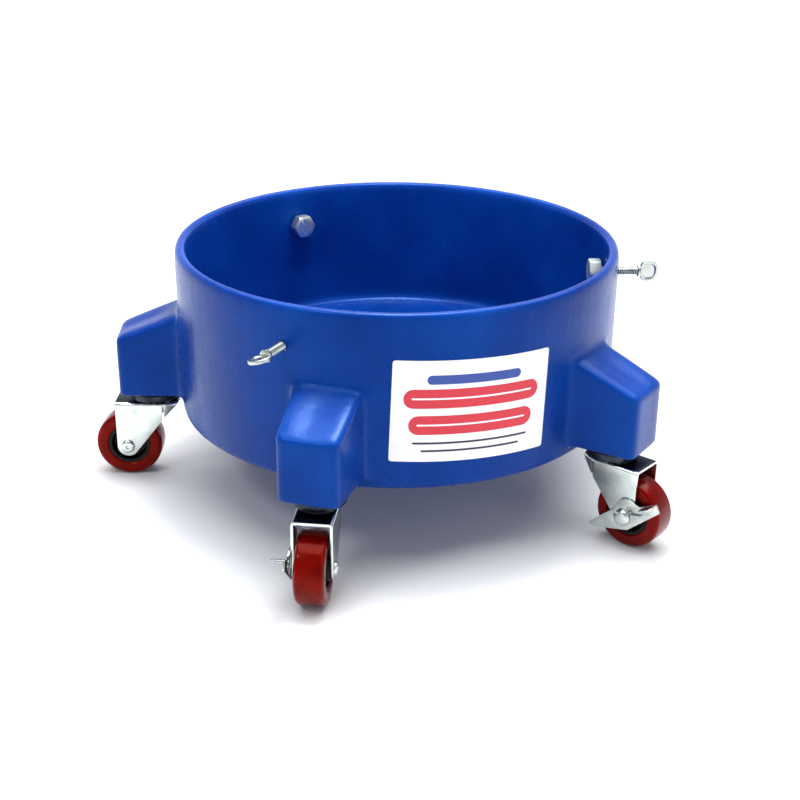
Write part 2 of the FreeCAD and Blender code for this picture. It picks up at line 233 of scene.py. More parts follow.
def linear(hexColour):     # sRGB hex to the linear values that a shader wants
    parts = [int(hexColour[i:i + 2], 16) / 255 for i in (1, 3, 5)]
    return [p / 12.92 if p <= 0.04045 else ((p + 0.055) / 1.055) ** 2.4 for p in parts] + [1]


def addNode(tree, kind, links=(), stops=(), **settings):
    # one shader node: settings go to its properties or sockets, links are (socket, node, output),
    # and stops fill a colour ramp
    node = tree.nodes.new("ShaderNode" + kind)
    for name, value in settings.items():
        if name in node.bl_rna.properties:
            setattr(node, name, value)
        else:
            node.inputs[name.replace("_", " ")].default_value = value
    for socket, source, output in links:
        tree.links.new(source.outputs[output], node.inputs[socket])
    for index, (position, colour) in enumerate(stops):
        bar = node.color_ramp.elements
        element = bar[index] if index < 2 else bar.new(position)
        element.position = position
        element.color = colour
    return node


def startMaterial(name, **settings):
    material = bpy.data.materials.new(name)
    material.use_nodes = True
    tree = material.node_tree
    shader = tree.nodes["Principled BSDF"]
    for socket, value in settings.items():
        shader.inputs[socket.replace("_", " ")].default_value = value
    return material, tree, shader, addNode(tree, "TexCoord")


def grey(value):
    return (value, value, value, 1)


# Rotationally moulded polyethylene, dyed right through: a waxy soft gloss, slow waves where the wall
# cooled unevenly, faint upright run lines and a pebbled skin, drawn coarser than real so that it shows.
blueLook = {"base": "#03307f", "deep": "#022872", "pale": "#05398b", "scuff": "#205098", "gloss": 0.24,
            "cloud": 70, "pebble": 1.5, "run": 7, "wave": 38, "scratch": 5}


def bluePolyethylene():
    s = blueLook
    material, tree, shader, place = startMaterial("rotomoulded polyethylene", IOR=1.51,
                                                  Specular_IOR_Level=0.3, Specular_Tint=(0.18, 0.4, 1, 1))
    cloud = addNode(tree, "TexNoise", [("Vector", place, "Object")], Scale=1000 / s["cloud"], Detail=4.0)
    tone = addNode(tree, "ValToRGB", [("Fac", cloud, "Fac")],
                   [(0.32, linear(s["deep"])), (0.68, linear(s["pale"])), (0.5, linear(s["base"]))])
    scratch = addNode(tree, "TexNoise", [("Vector", place, "Object")], Scale=1000 / s["scratch"],
                      Detail=10.0, Roughness=0.75, Distortion=1.5)
    worn = addNode(tree, "ValToRGB", [("Fac", scratch, "Fac")], [(0.68, grey(0)), (0.82, grey(0.25))])
    colour = addNode(tree, "MixRGB", [("Fac", worn, "Color"), ("Color1", tone, "Color")],
                     Color2=linear(s["scuff"]))
    tree.links.new(colour.outputs["Color"], shader.inputs["Base Color"])
    sheen = addNode(tree, "MapRange", [("Value", scratch, "Fac")], From_Min=0.3, From_Max=0.75,
                    To_Min=s["gloss"] - 0.04, To_Max=s["gloss"] + 0.12)
    tree.links.new(sheen.outputs["Result"], shader.inputs["Roughness"])
    upright = addNode(tree, "Mapping", [("Vector", place, "Object")], Scale=(1, 1, 0.05))
    run = addNode(tree, "TexNoise", [("Vector", upright, "Vector")], Scale=1000 / s["run"], Detail=3.0)
    wave = addNode(tree, "TexNoise", [("Vector", place, "Object")], Scale=1000 / s["wave"], Detail=1.0)
    pebble = addNode(tree, "TexNoise", [("Vector", place, "Object")], Scale=1000 / s["pebble"], Detail=2.0)
    slow = addNode(tree, "Bump", [("Height", wave, "Fac")], Strength=0.35, Distance=0.0012)
    lines = addNode(tree, "Bump", [("Height", run, "Fac"), ("Normal", slow, "Normal")],
                    Strength=0.4, Distance=0.0005)
    skin = addNode(tree, "Bump", [("Height", pebble, "Fac"), ("Normal", lines, "Normal")],
                   Strength=0.05, Distance=0.0001)
    tree.links.new(skin.outputs["Normal"], shader.inputs["Normal"])
    return material


# Bright zinc plate over pressed steel: silvery with a cool cast, faintly clouded, with darker handling
# spots and a fine grain from rolling, drawn coarser than real so that it shows.
zincLook = {"bright": "#d2d9d4", "dull": "#bdc5c0", "spot": "#9ea6a2", "rough": 0.17, "cloud": 9,
            "grain": 0.6}


def zincPlate(name, extraRough=0.0, **shades):
    s = zincLook | shades
    material, tree, shader, place = startMaterial(name, Metallic=1.0)
    cloud = addNode(tree, "TexNoise", [("Vector", place, "Object")], Scale=1000 / s["cloud"],
                    Detail=5.0, Roughness=0.55)
    tone = addNode(tree, "ValToRGB", [("Fac", cloud, "Fac")],
                   [(0.34, linear(s["dull"])), (0.56, linear(s["bright"])), (0.22, linear(s["spot"]))])
    tree.links.new(tone.outputs["Color"], shader.inputs["Base Color"])
    rough = addNode(tree, "MapRange", [("Value", cloud, "Fac")], From_Min=0.3, From_Max=0.7,
                    To_Min=s["rough"] + extraRough + 0.08, To_Max=s["rough"] + extraRough)
    tree.links.new(rough.outputs["Result"], shader.inputs["Roughness"])
    grain = addNode(tree, "TexNoise", [("Vector", place, "Object")], Scale=1000 / s["grain"], Detail=3.0)
    bump = addNode(tree, "Bump", [("Height", grain, "Fac")], Strength=0.1, Distance=0.0001)
    tree.links.new(bump.outputs["Normal"], shader.inputs["Normal"])
    return material


# Cast polyurethane tyre: deep wine red with a wet gloss, a little light inside it, and dulled by
# fine rolling scuffs.
redLook = {"deep": "#520201", "bright": "#6e0502", "scuff": "#6e261c", "gloss": 0.12, "cloud": 14,
           "scratch": 1.2}


def redPolyurethane():
    s = redLook
    material, tree, shader, place = startMaterial("cast polyurethane", IOR=1.5,
                                                  Specular_Tint=(1, 0.14, 0.1, 1),
                                                  Subsurface_Weight=0.05, Subsurface_Scale=0.002)
    cloud = addNode(tree, "TexNoise", [("Vector", place, "Object")], Scale=1000 / s["cloud"], Detail=3.0)
    tone = addNode(tree, "ValToRGB", [("Fac", cloud, "Fac")],
                   [(0.35, linear(s["deep"])), (0.68, linear(s["bright"]))])
    scratch = addNode(tree, "TexNoise", [("Vector", place, "Object")], Scale=1000 / s["scratch"],
                      Detail=9.0, Roughness=0.72)
    worn = addNode(tree, "ValToRGB", [("Fac", scratch, "Fac")], [(0.64, grey(0)), (0.8, grey(0.22))])
    colour = addNode(tree, "MixRGB", [("Fac", worn, "Color"), ("Color1", tone, "Color")],
                     Color2=linear(s["scuff"]))
    tree.links.new(colour.outputs["Color"], shader.inputs["Base Color"])
    rough = addNode(tree, "MapRange", [("Value", scratch, "Fac")], From_Min=0.35, From_Max=0.72,
                    To_Min=s["gloss"], To_Max=s["gloss"] + 0.12)
    tree.links.new(rough.outputs["Result"], shader.inputs["Roughness"])
    bump = addNode(tree, "Bump", [("Height", scratch, "Fac")], Strength=0.06, Distance=0.0001)
    tree.links.new(bump.outputs["Normal"], shader.inputs["Normal"])
    return material


# Injection-moulded polypropylene wheel core: near black, satin and faintly dusty, with the mould's
# spark-eroded grain, drawn coarser than real so that it shows.
blackLook = {"base": "#060606", "dust": "#111111", "rough": 0.4, "cloud": 5, "grain": 0.6}


def blackPolypropylene():
    s = blackLook
    material, tree, shader, place = startMaterial("moulded polypropylene", IOR=1.49, Specular_IOR_Level=0.18)
    cloud = addNode(tree, "TexNoise", [("Vector", place, "Object")], Scale=1000 / s["cloud"], Detail=6.0)
    tone = addNode(tree, "ValToRGB", [("Fac", cloud, "Fac")],
                   [(0.4, linear(s["base"])), (0.75, linear(s["dust"]))])
    tree.links.new(tone.outputs["Color"], shader.inputs["Base Color"])
    rough = addNode(tree, "MapRange", [("Value", cloud, "Fac")], From_Min=0.3, From_Max=0.7,
                    To_Min=s["rough"] - 0.06, To_Max=s["rough"] + 0.1)
    tree.links.new(rough.outputs["Result"], shader.inputs["Roughness"])
    grain = addNode(tree, "TexNoise", [("Vector", place, "Object")], Scale=1000 / s["grain"], Detail=2.0)
    bump = addNode(tree, "Bump", [("Height", grain, "Fac")], Strength=0.2, Distance=0.0001)
    tree.links.new(bump.outputs["Normal"], shader.inputs["Normal"])
    return material


# Turned metals of the inner works: fine lathe cloudiness, bright steel or yellow brass.
def turnedMetal(name, bright, dull, roughness, grain=1.2):
    material, tree, shader, place = startMaterial(name, Metallic=1.0)
    cloud = addNode(tree, "TexNoise", [("Vector", place, "Object")], Scale=1000 / grain, Detail=5.0)
    tone = addNode(tree, "ValToRGB", [("Fac", cloud, "Fac")], [(0.35, linear(dull)), (0.65, linear(bright))])
    tree.links.new(tone.outputs["Color"], shader.inputs["Base Color"])
    rough = addNode(tree, "MapRange", [("Value", cloud, "Fac")], From_Min=0.3, From_Max=0.7,
                    To_Min=roughness, To_Max=roughness + 0.12)
    tree.links.new(rough.outputs["Result"], shader.inputs["Roughness"])
    return material


# Printed vinyl: glossy film with faint ripples, its inks slightly mottled.
def printedVinyl(name, colour, mottle, roughness=0.28, grain=0.9, ripple=9):
    material, tree, shader, place = startMaterial(name, IOR=1.46)
    cloud = addNode(tree, "TexNoise", [("Vector", place, "Object")], Scale=1000 / grain, Detail=4.0)
    tone = addNode(tree, "ValToRGB", [("Fac", cloud, "Fac")], [(0.3, linear(mottle)), (0.6, linear(colour))])
    tree.links.new(tone.outputs["Color"], shader.inputs["Base Color"])
    rough = addNode(tree, "MapRange", [("Value", cloud, "Fac")], From_Min=0.3, From_Max=0.7,
                    To_Min=roughness + 0.08, To_Max=roughness)
    tree.links.new(rough.outputs["Result"], shader.inputs["Roughness"])
    ripples = addNode(tree, "TexNoise", [("Vector", place, "Object")], Scale=1000 / ripple, Detail=1.0)
    bump = addNode(tree, "Bump", [("Height", ripples, "Fac")], Strength=0.15, Distance=0.0003)
    tree.links.new(bump.outputs["Normal"], shader.inputs["Normal"])
    return material


blue = bluePolyethylene()
zinc = zincPlate("bright zinc plate")
dullZinc = zincPlate("tumbled zinc plate", extraRough=0.2)
# a darker copy of the zinc plate for the screws: painted shade, so that they read darker against the bright
# surroundings
shadedScrewZinc = zincPlate("zinc plate darkened as painted shade on the screws", extraRough=0.03, bright="#c3cac5", dull="#a6aea9",
                       spot="#858d88")
# a dark copy of the zinc plate: painted shade for the race caps and the forks' top plates in the shadow under
# the pods, and for the sheets behind the lever slots
paintedShadeZinc = zincPlate("zinc plate darkened as painted shade", extraRough=0.08, bright="#363c45",
                        dull="#22272f", spot="#14181e")
red = redPolyurethane()
black = blackPolypropylene()
steel = turnedMetal("drawn steel", "#c4c6c8", "#8d9093", 0.25)
brass = turnedMetal("turned brass", "#c9a45c", "#94713a", 0.3)
whiteVinyl = printedVinyl("white vinyl", "#f4f4f8", "#e6e7ee")
blueInk = printedVinyl("blue ink", "#2d4a9c", "#24408f")
redInk = printedVinyl("red ink", "#d42a3c", "#c0222f")
darkInk = printedVinyl("dark ink", "#2b2c3c", "#222334")
print("materials ready")


def finishPiece(piece, materials, body, node):
    if len(piece.data.materials) != len(materials):        # a piece in several materials has them already
        piece.data.materials.clear()
        for material in materials:
            piece.data.materials.append(material)
    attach(piece, body)
    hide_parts(node)


# plastic body: one hollow moulding with its wall, floor and five pods

# a station is (distance out, share of the end's curve that is kept, share of its width that is kept)
shellPlan = {"sides": 80, "outer": 163.1, "inner": 154.9, "rim": 103.6, "skirt": -21.1, "under": -5,
             "podWidth": 18, "podBottom": -13.4, "podRoof": 51.6, "roofSlope": 22, "pods": 5,
             "stations": [(168.5, 0.5, 0.93), (177, 0.45, 0.985), (189, 0.3, 0.965), (200.5, 0.15, 0.965),
                          (209.3, 0.0, 0.975)],
             "hollow": 2.0, "hollowFrom": 172, "hollowTo": 205, "hollowHalf": 5, "waveSize": 45, "wave": 0.35}
holePlan = {"from": 150, "wall": 155, "to": 168, "screw": 3.6, "pocket": 4.9, "pocketDepth": 6.9,
            "vent": 2.5, "ventFrom": -16, "ventTo": -5, "ventRadial": 171, "ventSide": 16.5}


def shellRings():
    # (radius, height) along the underside, up the outside, over the rim and down to the floor
    s = shellPlan
    outer, inner, rim, skirt, under = s["outer"], s["inner"], s["rim"], s["skirt"], s["under"]
    below = [(30, under), (100, under), (140, under), (150, under - 0.6), (inner - 0.4, -9), (inner, -15)]
    foot = [(inner + 1, skirt + 1.2), (inner + 3.5, skirt), (outer - 3, skirt), (outer - 0.6, skirt + 1.4),
            (outer, skirt + 4.5)]
    heights = (s["podBottom"], s["podBottom"] + 3.2, 4, 19, 33, 44, s["podRoof"], 60, 74, 88)
    wall = [(outer, z) for z in heights]
    top = [(outer, rim - 6), (outer - 0.5, rim - 2.1), (outer - 2.3, rim - 0.1), (inner + 2.3, rim - 0.1),
           (inner + 0.5, rim - 2.1), (inner, rim - 6)]
    inside = [(inner, z) for z in (82, 50, 20, 9)]
    floor = [(inner - 0.8, 3.6), (inner - 3.8, 0.9), (inner - 9, 0), (100, 0), (30, 0)]
    return below + foot + wall + top + inside + floor


def raisePod():            # extrudes one pod out of the wall on the +X side, station by station
    s = shellPlan
    bottom, top = s["podBottom"], s["podRoof"]
    half = math.radians(s["podWidth"] / 2)
    slope = math.tan(math.radians(s["roofSlope"]))

    def onPatch(face):
        middle = middleOf(face)
        outside = math.hypot(middle.x, middle.y) > (s["outer"] - 1.5) * mm
        return outside and abs(math.atan2(middle.y, middle.x)) < half and bottom * mm < middle.z < top * mm

    pick("FACE", onPatch)
    reach = s["outer"]
    for station, flatten, narrow in s["stations"]:
        nextTop = s["podRoof"] - slope * (station - s["outer"])
        step = (station - reach) * mm
        bpy.ops.mesh.extrude_region_move(TRANSFORM_OT_translate={"value": (step, 0, 0)})
        bpy.ops.transform.resize(value=(flatten, narrow, (nextTop - bottom) / (top - bottom)),
                                 center_override=(station * mm, 0, bottom * mm))
        reach, top = station, nextTop
    # the roof sinks a little along its middle
    pick("VERT", lambda v: s["hollowFrom"] * mm < v.co.x < s["hollowTo"] * mm
         and abs(v.co.y) < s["hollowHalf"] * mm and v.normal.z > 0.5)
    bpy.ops.transform.translate(value=(0, 0, -s["hollow"] * mm))


def holeCutter():          # stepped drills for the screws and small ones for the pods' vents
    s = holePlan
    step = s["wall"] + s["pocketDepth"]
    drills = []
    for number in (1, 2, 3):
        place = Vector(joints[f"screw_turn_{number}"]["pos_m"])
        bearing = math.degrees(math.atan2(place.y, place.x))
        drill = lathe("drill", [(1, s["from"]), (s["pocket"], s["from"]), (s["pocket"], step),
                                (s["screw"], step), (s["screw"], s["to"]), (1, s["to"])], 28, closed=False)
        setDown(drill, turn=(0, 90, 0), move=(0, 0, place.z / mm))
        drills.append(setDown(drill, turn=(0, 0, bearing)))
    for pod in range(shellPlan["pods"]):
        drill = lathe("drill", [(0.8, s["ventFrom"]), (s["vent"], s["ventFrom"]), (s["vent"], s["ventTo"]),
                                (0.8, s["ventTo"])], 24, closed=False)
        setDown(drill, move=(s["ventRadial"], s["ventSide"], 0))
        drills.append(setDown(drill, turn=(0, 0, 360 / shellPlan["pods"] * pod)))
    return joinPieces(*drills)


def dollyShell():
    s = shellPlan
    shell = lathe("dollyShell", shellRings(), s["sides"], closed=False)
    startEdit(shell)
    for pod in range(s["pods"]):
        raisePod()
        bpy.ops.mesh.select_all(action="SELECT")
        bpy.ops.transform.rotate(value=math.tau / s["pods"], orient_axis="Z", center_override=(0, 0, 0))
    bpy.ops.mesh.select_all(action="SELECT")
    bpy.ops.mesh.normals_make_consistent(inside=False)
    bpy.ops.object.mode_set(mode="OBJECT")
    addModifier(shell, "SUBSURF", levels=2, render_levels=2)
    waves = bpy.data.textures.new("coolingWaves", "CLOUDS")
    waves.noise_scale = s["waveSize"] * mm
    addModifier(shell, "DISPLACE", texture=waves, texture_coords="LOCAL", strength=s["wave"] * mm,
                mid_level=0.5)
    cutter = holeCutter()
    addModifier(shell, "BOOLEAN", object=cutter, operation="DIFFERENCE", solver="EXACT")
    bpy.data.objects.remove(cutter)
    smooth(shell, 50)
    print("shell:", len(shell.data.polygons), "faces")
    return shell


finishPiece(dollyShell(), [blue], "dolly", "dolly_body")

# sticker: white film with plain printed bars, wrapped round the wall

# a bar is (across, up, width, height, ink)
stickerPlan = {"width": 112, "tall": 72, "corner": 2, "film": 0.22, "ink": 0.06, "tilt": -2, "radius": 163.2,
               "bars": [(0, 22.6, 66, 6.4, "blue"), (0, 9.2, 96, 13.6, "red"), (0, -9.6, 88, 13.6, "red"),
                        (0, -22.6, 82, 1.5, "dark"), (0, -28.2, 70, 1.5, "dark")],
               "slit": 1.3, "strips": 28}


def barOutline(x, y, width, tall, corner):
    a, b = width / 2, tall / 2
    return roundedOutline([(x - a, y - b, corner), (x + a, y - b, corner), (x + a, y + b, corner),
                           (x - a, y + b, corner)], 6)


def sticker():
    s = stickerPlan
    film = plate("sticker", [barOutline(0, 0, s["width"], s["tall"], s["corner"])], s["film"], 0.05)
    inks = {"blue": 1, "red": 2, "dark": 3}
    palette = [whiteVinyl, blueInk, redInk, darkInk]
    parts = []
    for x, y, width, tall, ink in s["bars"]:
        loops = [barOutline(x, y, width, tall, tall * 0.49)]
        if ink == "red":   # a white slit runs along the middle of the broad bars
            loops.append(barOutline(x, y, width - tall * 0.8, s["slit"], s["slit"] * 0.49))
        bar = plate("bar", loops, s["ink"], 0.01)
        setDown(bar, move=(0, 0, (s["film"] + s["ink"]) / 2))
        for material in palette:
            bar.data.materials.append(material)
        for face in bar.data.polygons:
            face.material_index = inks[ink]
        parts.append(bar)
    for material in palette:
        film.data.materials.append(material)
    joinPieces(film, *parts)
    setDown(film, turn=(0, 0, s["tilt"]))
    startEdit(film)
    reach = s["width"] / 2 + 2
    for strip in range(1, s["strips"]):
        bpy.ops.mesh.select_all(action="SELECT")
        cut = -reach + 2 * reach * strip / s["strips"]
        bpy.ops.mesh.bisect(plane_co=(cut * mm, 0, 0), plane_no=(1, 0, 0))
    bpy.ops.object.mode_set(mode="OBJECT")
    setDown(film, turn=(90, 0, 0))
    across = film.dimensions.x / mm
    addModifier(film, "SIMPLE_DEFORM", deform_method="BEND", deform_axis="Z", angle=across / s["radius"])
    low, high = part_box("label")
    centre = (Vector(low) + Vector(high)) / 2
    setDown(film, move=(0, -s["radius"], 0))
    bearing = math.degrees(math.atan2(centre.y, centre.x))
    setDown(film, turn=(0, 0, bearing + 90), move=(0, 0, centre.z / mm))
    smooth(film, 30)
    finishPiece(film, palette, "dolly", "label")


sticker()
print("body and sticker ready")

# thumb screws and their feet, made along +X and then set round the wall

screwPlan = {"start": 146.5, "shank": 3.1, "root": 2.6, "pitch": 1.27, "turns": 25, "collarAt": 180.5,
             "collar": 4.4, "collarLong": 2.5, "end": 196.5, "spadeHalf": 8.3, "spade": 2.8, "dish": 0.85,
             "rim": 1.5, "neck": 3.4, "spadeTurns": [0, 0, -75]}
footPlan = {"inner": 143.5, "long": 9.0, "flats": 16.5, "face": 7.7, "lead": 1.5, "soft": 0.35}


def thumbScrew():
    s = screwPlan
    outline = [(1.4, s["start"]), (s["root"], s["start"] + 0.5)]
    for turn in range(s["turns"]):
        at = s["start"] + 0.6 + turn * s["pitch"]
        outline += [(s["root"], at), (s["shank"], at + 0.5), (s["shank"], at + 0.7)]
    at = s["start"] + 0.6 + s["turns"] * s["pitch"]
    collar, stop = s["collarAt"], s["collarAt"] + s["collarLong"]
    outline += [(s["root"], at), (s["shank"], at + 0.8), (s["shank"], collar - 0.3),
                (s["shank"] + 0.5, collar), (s["collar"] - 0.4, collar), (s["collar"], collar + 0.5),
                (s["collar"], stop - 0.6), (s["collar"] - 0.8, stop), (2, stop + 0.4)]
    shank = lathe("thumbScrew", outline, 32, closed=False)
    setDown(shank, turn=(0, 90, 0))
    start, end, half, neck = stop - 0.8, s["end"], s["spadeHalf"], s["neck"]
    oval = roundedOutline([(start, -neck, 0), (start + 2.6, -half, 4.5), (end, -half + 0.6, 6.8),
                           (end, half - 0.6, 6.8), (start + 2.6, half, 4.5), (start, neck, 0)], 8)
    spade = plate("spade", [oval], s["spade"], 0.75)
    startEdit(spade)
    for side in (1, -1):   # each face is dished inside its bright rim
        pick("FACE", lambda face: face.normal.z * side > 0.99)
        bpy.ops.mesh.inset(thickness=s["rim"] * mm, depth=-s["dish"] * 0.25 * mm)
        bpy.ops.mesh.inset(thickness=0.8 * mm, depth=-s["dish"] * 0.75 * mm)
    bpy.ops.object.mode_set(mode="OBJECT")
    setDown(spade, turn=(90, 0, 0))
    joinPieces(shank, spade)
    smooth(shank, 32)
    return shank


def clampFoot():
    s = footPlan
    corner = s["flats"] / math.sqrt(3)
    clearSelection()
    bpy.ops.mesh.primitive_cylinder_add(vertices=6, radius=corner * mm, depth=s["long"] * mm,
                                        location=(0, 0, (s["inner"] + s["long"] / 2) * mm))
    foot = bpy.context.object
    foot.name = "clampFoot"
    bpy.ops.object.transform_apply(location=True)
    inner, outer = s["inner"], s["inner"] + s["long"]
    barrel = lathe("barrel", [(1, inner), (s["face"], inner), (s["face"] + 1.1, inner + 0.5),
                              (corner + 0.2, inner + s["lead"]), (corner + 0.2, outer - 0.9),
                              (s["face"] + 0.6, outer), (1, outer)], 64, closed=False)
    addModifier(foot, "BOOLEAN", object=barrel, operation="INTERSECT", solver="EXACT")
    bpy.data.objects.remove(barrel)
    softEdges(foot, s["soft"], 25)
    setDown(foot, turn=(0, 90, 0))
    return foot


screwMaster, footMaster = thumbScrew(), clampFoot()
for number, spadeTurn in enumerate(screwPlan["spadeTurns"], 1):
    place = Vector(joints[f"screw_turn_{number}"]["pos_m"])
    bearing = math.degrees(math.atan2(place.y, place.x))
    screw = setDown(copyOf(screwMaster, f"thumbScrew{number}"), turn=(spadeTurn, 0, 0))
    setDown(screw, turn=(0, 0, bearing), move=(0, 0, place.z / mm))
    finishPiece(screw, [shadedScrewZinc], f"screw_{number}", f"thumb_screw_{number}")
    foot = copyOf(footMaster, f"clampFoot{number}")
    setDown(foot, turn=(0, 0, bearing), move=(0, 0, place.z / mm))
    finishPiece(foot, [dullZinc], f"clamp_{number}", f"clamp_foot_{number}")
for master in (screwMaster, footMaster):
    bpy.data.objects.remove(master)
print("thumb screws ready")

# casters, made once with the swivel axis on Z and the wheel towards +X

casterPlan = {"trail": 21.0, "axle": -58.8}
capPlan = {"radius": 19.0, "sheet": 1.6, "lip": 6.4, "hole": 4.8}


def ontoAxle(piece, turn):
    # turns a piece that was made round the origin and sets it on the wheel's axle
    return setDown(piece, turn=turn, move=(casterPlan["trail"], 0, casterPlan["axle"]))


def raceCap():             # pressed dish under the pod, over the balls
    s = capPlan
    top = shellPlan["podBottom"]
    lip = top - s["lip"]
    outer, inner = s["radius"], s["radius"] - s["sheet"]
    outline = roundedOutline([(s["hole"], top, 0.2), (outer, top, 2.5), (outer, lip, 0.6), (inner, lip, 0.6),
                              (inner, top - s["sheet"], 1.2), (s["hole"], top - s["sheet"], 0.2)], 4)
    cap = lathe("raceCap", outline, 64)
    smooth(cap, 40)
    return cap


forkPlan = {"nose": -19.2, "noseHalf": 8.5, "shoulder": -8.2, "half": 13.8, "back": 29.0, "top": -22.4,
            "noseDrop": 5.0, "shoulderDrop": 12.3, "foot": 8.0, "sheet": 1.8, "fold": 2.6, "cuts": 11}
racePlan = {"inner": 11.6, "middle": 14, "outer": 16.4, "top": -18.3, "sink": 0.4, "front": 17.2,
            "side": 11.3}


def forkSheet():           # one bent sheet: a top plate and two cheeks
    s = forkPlan
    low = casterPlan["axle"] - s["foot"] - 4
    clearSelection()
    bpy.ops.mesh.primitive_cube_add(size=1, location=((s["nose"] + s["back"]) / 2 * mm, 0,
                                                      (s["top"] + low) / 2 * mm))
    fork = bpy.context.object
    fork.name = "fork"
    fork.scale = ((s["back"] - s["nose"]) * mm, 2 * s["half"] * mm, (s["top"] - low) * mm)
    bpy.ops.object.transform_apply(location=True, scale=True)
    startEdit(fork)
    pick("FACE", lambda face: face.normal.z < -0.9 or face.normal.x > 0.9)     # open below and behind
    bpy.ops.mesh.delete(type="FACE")
    bpy.ops.mesh.select_all(action="SELECT")
    bpy.ops.mesh.bisect(plane_co=(s["shoulder"] * mm, 0, 0), plane_no=(1, 0, 0))
    pick("VERT", lambda vertex: vertex.co.x < (s["nose"] + 1) * mm)            # cheeks draw in to the nose
    bpy.ops.transform.resize(value=(1, s["noseHalf"] / s["half"], 1), center_override=(0, 0, 0))
    pick("EDGE", isFold)
    bpy.ops.mesh.bevel(offset=s["fold"] * mm, segments=4, affect="EDGES")
    bpy.ops.mesh.select_all(action="SELECT")
    bpy.ops.mesh.bisect(plane_co=(s["shoulder"] * mm, 0, 0), plane_no=(1, 0, 0))
    shoulder = Vector((s["shoulder"], 0, s["top"] - s["shoulderDrop"]))
    nose = Vector((s["nose"], 0, s["top"] - s["noseDrop"]))
    slant = shoulder - nose
    pick("FACE", lambda face: middleOf(face).x < s["shoulder"] * mm)
    bpy.ops.mesh.bisect(plane_co=shoulder * mm, plane_no=(slant.z, 0, -slant.x), clear_outer=True)
    # the slanted front edge, the round foot and the upright rear edge are all tangent to one circle
    axle = Vector((casterPlan["trail"], 0, casterPlan["axle"]))
    reach = axle - shoulder
    first = math.atan2(reach.z, reach.x) - math.asin(s["foot"] / reach.length) - math.pi / 2
    for cut in range(s["cuts"]):
        angle = first * (1 - cut / s["cuts"])
        outward = Vector((math.cos(angle), 0, math.sin(angle)))
        pick("FACE", lambda face: middleOf(face).x > s["shoulder"] * mm)
        bpy.ops.mesh.bisect(plane_co=(axle + outward * s["foot"]) * mm, plane_no=outward, clear_outer=True)
    bpy.ops.object.mode_set(mode="OBJECT")
    tidyMesh(fork)
    addModifier(fork, "SOLIDIFY", thickness=s["sheet"] * mm, offset=-1, use_even_offset=True)
    softEdges(fork, 0.25, 40)
    return fork


def race():                # grooved ring on the fork's top, where the balls run
    s = racePlan
    inner, middle, outer, top = s["inner"], s["middle"], s["outer"], s["top"]
    foot = forkPlan["top"] - s["sink"]
    groove = [(middle - 1.7, top), (middle - 1.1, top - 0.55), (middle, top - 0.85),
              (middle + 1.1, top - 0.55), (middle + 1.7, top)]
    ring = lathe("race", [(inner, foot), (inner, top - 0.4), (inner + 0.3, top)] + groove +
                 [(outer - 0.3, top), (outer, top - 0.4), (outer, foot)], 64)
    startEdit(ring)        # cut off flat at the front and at both sides, to fit the top plate
    for outward, reach in (((0, 1, 0), s["side"]), ((0, -1, 0), s["side"]), ((-1, 0, 0), s["front"])):
        bpy.ops.mesh.select_all(action="SELECT")
        bpy.ops.mesh.bisect(plane_co=Vector(outward) * (reach * mm), plane_no=outward,
                            use_fill=True, clear_outer=True)
    bpy.ops.object.mode_set(mode="OBJECT")
    tidyMesh(ring, 0.004)
    smooth(ring, 40)
    return ring


axlePlan = {"radius": 3.0, "head": 6.8, "headBraked": 6.3, "headTall": 3.0, "peen": 5.2, "peenTall": 2.2}


def axlePin(braked):       # rivet with a domed head on the lever's side and a peened end on the other
    s = axlePlan
    near = forkPlan["half"] + (leverPlan["sheet"] + 2 * leverPlan["gap"] if braked else 0.05)
    far = forkPlan["half"] + 0.05
    tall, peen = s["headTall"], s["peenTall"]
    head = s["headBraked" if braked else "head"]
    outline = [(0.8, -near - tall), (head - 2.6, -near - tall + 0.12), (head - 1.3, -near - tall + 0.6),
               (head - 0.4, -near - tall + 1.4), (head, -near - 0.7), (head, -near), (s["radius"], -near),
               (s["radius"], far), (s["peen"], far), (s["peen"], far + peen * 0.35),
               (s["peen"] - 0.6, far + peen * 0.75), (s["peen"] - 1.7, far + peen), (1.6, far + peen),
               (1.0, far + peen - 0.5), (0.4, far + peen - 0.6)]
    pin = ontoAxle(lathe("axle", outline, 40, closed=False), (-90, 0, 0))
    smooth(pin, 35)
    return pin


wheelPlan = {"radius": 25.39, "half": 10.3, "core": 16.0, "step": 0.9, "round": 3.2, "crown": 60,
             "crownDrop": 0.15, "hub": 8.5, "hubHalf": 11.6, "web": 3.5, "rim": 2.6, "bore": 4.12,
             "ribs": 6, "ribTall": 1.4, "ribThick": 1.8}


def tyre():                # glossy ring with a slightly crowned tread and well rounded shoulders
    s = wheelPlan
    half, radius, core, step = s["half"], s["radius"], s["core"], s["step"]
    edge = radius - s["crownDrop"]
    outline = roundedOutline([(core, -half + step, 0.2), (core + step, -half, 0.5), (edge, -half, s["round"]),
                              (radius, 0, s["crown"]), (edge, half, s["round"]), (core + step, half, 0.5),
                              (core, half - step, 0.2)], 7)
    tread = ontoAxle(lathe("tyre", outline, 96), (90, 0, 0))
    smooth(tread, 50)
    return tread


